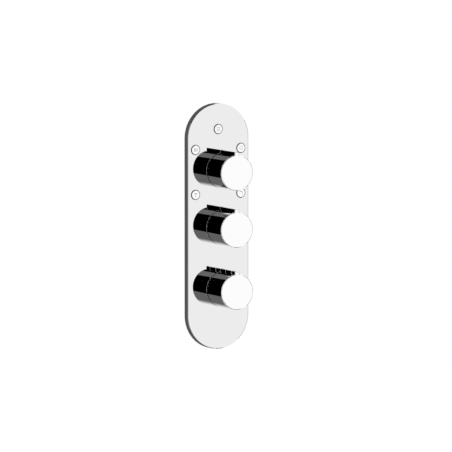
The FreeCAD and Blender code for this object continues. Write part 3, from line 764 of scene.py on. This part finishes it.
spring_wire = plain_metal("spring_wire", (0.62, 0.63, 0.65), roughness=0.2, grain=300, relief_depth=0.0001)
button_spring_radius = 3.0
button_spring_wire = 0.8
button_spring_turns = 5
button_spring_height = button_low - spring_seat
button_spring_foot = (0, button_middle, spring_seat)
spring_piece(
    "button_spring_coil",
    coil(button_spring_radius, button_spring_wire, button_spring_turns, button_spring_height),
    button_spring_foot,
    (0, 0, 1),
    "thermostat_handle",
    "button_spring",
)


# The bushes: hexagon sleeves moulded in stiff plastic, with a splined hole. One is pushed on each
# spindle's nose, and the knob is pushed on the bush.
stiff_plastic = plain_moulding("stiff_plastic", (0.85, 0.85, 0.82), roughness=0.4)
for name in knob_heights:
    dress(name + "_adapter", stiff_plastic, corner=0.25)


# The spindles: turned from brass bar, with a splined nose, a round shaft, a collar that keeps the
# spindle in, and an inner end that drives the plug, the ceramic disc or the wax element.
for name in knob_heights:
    dress(name + "_spindle", turned_brass, corner=0.2)


# The cartridge housings: turned brass barrels that are screwed into the body's chambers with a
# two-pin spanner. Their heads come through the plate, and their ports are milled.
for name in knob_heights:
    dress(name + "_cartridge", turned_brass, corner=0.35)


# The diverter's plug: a hollow brass turning that slides round in the diverter's housing and opens one
# outlet at a time.
dress("diverter_rotor", turned_brass, corner=0.3)


# The volume control's discs: two lapped ceramic discs with wedge ports, one turned by the spindle and
# one held still, on a rubber seal that closes the housing on the chamber floor.
lapped_ceramic = plain_moulding(
    "lapped_ceramic", (0.88, 0.87, 0.84), roughness=0.12, grain=900, relief_depth=0.00005
)
soft_rubber = plain_moulding("soft_rubber", (0.035, 0.035, 0.036), roughness=0.7)
dress("volume_rotating_disc", lapped_ceramic, corner=0.2)
dress("volume_fixed_disc", lapped_ceramic, corner=0.2)
dress("volume_base_seal", soft_rubber, corner=0.3)


# The thermostat's inner pieces: a drawn copper capsule filled with wax, a brass shuttle that slides
# between the hot and cold ports, and the stainless spring that pushes the shuttle back.
drawn_copper = plain_metal("drawn_copper", (0.80, 0.46, 0.32), roughness=0.26)
dress("wax_element", drawn_copper, corner=0.6)
dress("mixing_shuttle", turned_brass, corner=0.2)
shuttle_back = 35.5
chamber_floor = 40.0
return_spring_radius = 8.0
return_spring_wire = 0.9
return_spring_turns = 1
return_spring_height = chamber_floor - shuttle_back
spring_piece(
    "return_spring_coil",
    coil(return_spring_radius, return_spring_wire, return_spring_turns, return_spring_height),
    (0, shuttle_back, knob_heights["thermostat"]),
    (0, 1, 0),
    "valve_body",
    "return_spring",
)


# The temperature stop: a moulded plastic ring clipped over the thermostat's ring nut, with the finger
# that catches the button's tongue at the warm stop of 38 degrees Celsius.
dress("temperature_stop_ring", stiff_plastic, corner=0.2)


# The body: one brass casting with three barrels, the rear spine with its gallery, and the inlet block.
# Its skin keeps the grain of the sand mould; chambers and ports are machined.
cast_brass = plain_metal("cast_brass", (0.74, 0.56, 0.30), roughness=0.42, grain=260, relief_depth=0.0012)
dress("valve_casting", cast_brass, corner=0.9)


# The gallery plugs: two brass screw plugs with a key socket, which close the drilled ways behind the
# diverter's and the volume control's chambers.
dress("gallery_plugs", turned_brass, corner=0.2)


# The pipe sockets: hexagon brass bar, bored, tapped with a parallel pipe thread and chamfered, then
# soldered on the body: five outlets round the diverter and two inlets facing down.
outlet_flats = 20.0
outlet_thread = {"thread_radius": 7.475, "thread_pitch": 1.337, "thread_depth": 0.7}
outlet_length = 10.0
inlet_flats = 25.0
inlet_thread = {"thread_radius": 9.315, "thread_pitch": 1.814, "thread_depth": 0.9}
inlet_length = 16.0
hexagon_chamfer = 0.9
chamfered_share = 0.97
mouth_clearance = 0.2
mouth_depth = 0.8
outlet_reach = 24.5
outlet_depth = 28.0
inlet_places = {"hot": (-15.5, 32.5), "cold": (15.5, 32.5)}
inlet_end = -126.0


def pipe_socket(across_flats, length, thread_radius, thread_pitch, thread_depth):
    """A tapped hexagon socket on the Z axis from the origin up, in millimetres."""
    mesh = bmesh.new()
    steps = 48
    turns = [2 * math.pi * (i + 0.5) / steps for i in range(steps)]

    def ring(reaches, height):
        spots = [(r * math.cos(a), r * math.sin(a), height) for r, a in zip(reaches, turns)]
        return [mesh.verts.new([c * MM for c in spot]) for spot in spots]

    hexagon = []
    for a in turns:
        off_flat = (a + math.pi / 6) % (math.pi / 3) - math.pi / 6
        hexagon.append(across_flats / 2 / math.cos(off_flat))
    chamfered = [min(r, across_flats / 2 * chamfered_share) for r in hexagon]
    outer_low = ring(hexagon, 0)
    outer_high = ring(hexagon, length - hexagon_chamfer)
    outer_face = ring(chamfered, length)
    wall(mesh, outer_low, outer_high)
    wall(mesh, outer_high, outer_face)
    mouth = ring([thread_radius + thread_depth + mouth_clearance] * steps, length)
    wall(mesh, outer_face, mouth)
    rows = int(length / thread_pitch * 4)
    upper = mouth
    for row in range(rows + 1):
        height = (length - mouth_depth) * (1 - row / rows)
        reaches = []
        for a in turns:
            phase = (height / thread_pitch - a / (2 * math.pi)) % 1
            reaches.append(thread_radius + thread_depth * abs(2 * phase - 1))
        lower = ring(reaches, height)
        wall(mesh, upper, lower)
        upper = lower
    wall(mesh, upper, outer_low)
    return mesh


def stand_at(mesh, foot, direction):
    """Turn a mesh made on the Z axis to a direction and put its origin at a foot in millimetres."""
    lean = Vector((0, 0, 1)).rotation_difference(Vector(direction)).to_matrix()
    bmesh.ops.rotate(mesh, verts=mesh.verts, cent=(0, 0, 0), matrix=lean)
    bmesh.ops.translate(mesh, verts=mesh.verts, vec=[c * MM for c in foot])
    return mesh


for place_name, (x, z) in disc_places.items():
    toward = Vector((x, 0, z - knob_heights["diverter"])).normalized()
    foot = (toward.x * outlet_reach, outlet_depth, knob_heights["diverter"] + toward.z * outlet_reach)
    mesh = stand_at(pipe_socket(outlet_flats, outlet_length, **outlet_thread), foot, toward)
    socket = finished_piece("outlet_socket_" + place_name, mesh, turned_brass, "valve_body")
    if place_name == "top":
        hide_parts("outlet_sockets")
for side, (x, y) in inlet_places.items():
    mesh = stand_at(pipe_socket(inlet_flats, inlet_length, **inlet_thread), (x, y, inlet_end), (0, 0, -1))
    socket = finished_piece(side + "_inlet_socket", mesh, turned_brass, "valve_body")
    if side == "hot":
        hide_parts("inlet_sockets")


# The check valves: a cage with a seat and a bar, and a poppet, both moulded in stiff plastic, with a
# stainless spring between them. They are pushed up the inlets; water lifts the poppet, the spring shuts it.
poppet_top = -120.95
bar_low = -113.0
check_spring_radius = 3.0
check_spring_wire = 0.6
check_spring_turns = 4
check_spring_height = bar_low - poppet_top
for side, (x, y) in inlet_places.items():
    dress(side + "_check_cage", stiff_plastic, corner=0.25)
    dress(side + "_check_poppet", stiff_plastic, corner=0.2)
    spring_piece(
        side + "_check_spring_coil",
        coil(check_spring_radius, check_spring_wire, check_spring_turns, check_spring_height),
        (x, y, poppet_top),
        (0, 0, 1),
        "valve_body",
        side + "_check_spring",
    )


# The strainers: thin stainless plates with slots, punched and pushed into the inlets below the check
# valves. They keep grit out of the cartridges.
punched_steel = plain_metal(
    "punched_steel", (0.66, 0.67, 0.69), roughness=0.22, grain=200, relief_depth=0.0001
)
dress("inlet_strainers", punched_steel, corner=0.1)


# The mounting rail: flat steel strip, cut, punched and zinc plated, with the three zinc-plated screws
# that hold the body to it let into its back.
zinc_plate = plain_metal("zinc_plate", (0.66, 0.68, 0.70), roughness=0.34, grain=40, relief_depth=0.0003)
dress("mounting_rail", zinc_plate, corner=0.35)
dress("rail_screws", zinc_plate, corner=0.2)
